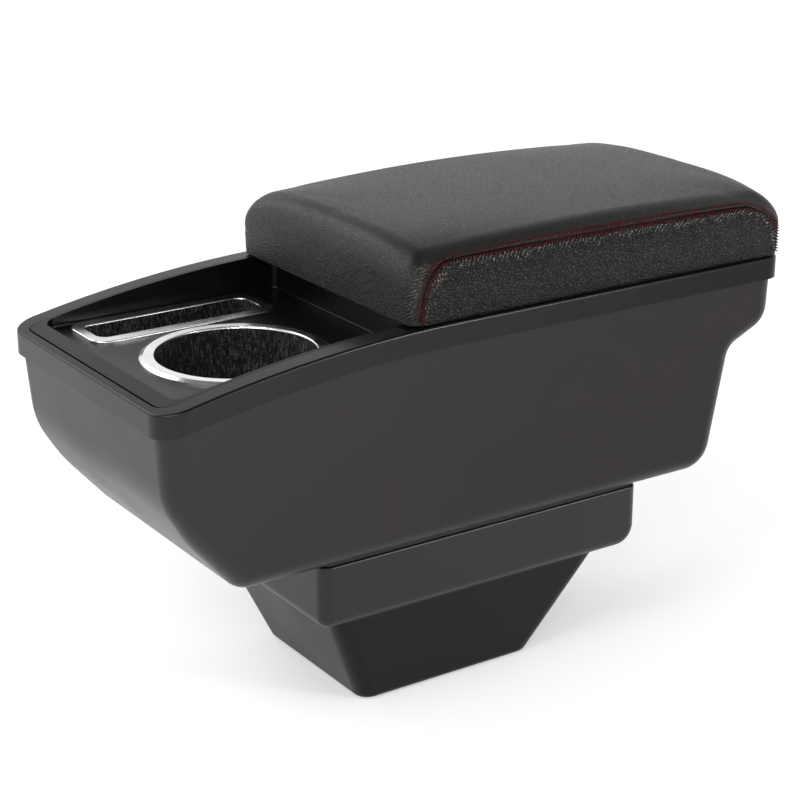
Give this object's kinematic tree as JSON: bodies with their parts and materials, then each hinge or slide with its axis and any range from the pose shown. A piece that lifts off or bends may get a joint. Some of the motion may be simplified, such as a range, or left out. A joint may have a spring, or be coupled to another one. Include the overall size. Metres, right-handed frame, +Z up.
{
  "type": "center console storage box",
  "caption": "Car center console box with a padded hinged lid over a storage bin, a front tray with a cup well and a slot in bright rings, on a tapered plug-in base.",
  "frame": {"origin": "under the middle of the box, on the plane of the base's flat foot", "axes": "+X from the tray end to the hinge end, +Y to the side with the slot, +Z up"},
  "size_m": [0.35, 0.157, 0.2348],
  "materials": {
    "black_plastic": "satin",
    "flocked_plastic": "matte",
    "chrome_trim": "polished",
    "steel": "satin",
    "black_leather": "satin",
    "foam": "matte",
    "rubber": "matte"
  },
  "bodies": {
    "box": {"mounting_base": "black_plastic", "base_screws": "steel", "shell": "black_plastic", "rim_frame": "black_plastic", "tray_panel": "black_plastic", "cup_well": "flocked_plastic", "cup_ring": "chrome_trim", "slot_well": "flocked_plastic", "slot_ring": "chrome_trim", "bin_liner": "black_plastic", "lid_bumpers": "rubber", "hinge_bracket": "steel", "bracket_screws": "steel"},
    "lid": {"hinge_pins": "steel", "lid_plate": "black_plastic", "lid_panel": "black_plastic", "panel_screws": "steel", "pad_foam": "foam", "pad_wrap": "black_leather", "pad_side_left": "black_leather", "pad_side_right": "black_leather"}
  },
  "joints": [
    {"name": "lid_hinge", "type": "hinge", "parent": "box", "child": "lid", "pos_m": [0.1696, 0, 0.203], "axis": [0, 1, 0], "range_deg": [0, 90]}
  ]
}
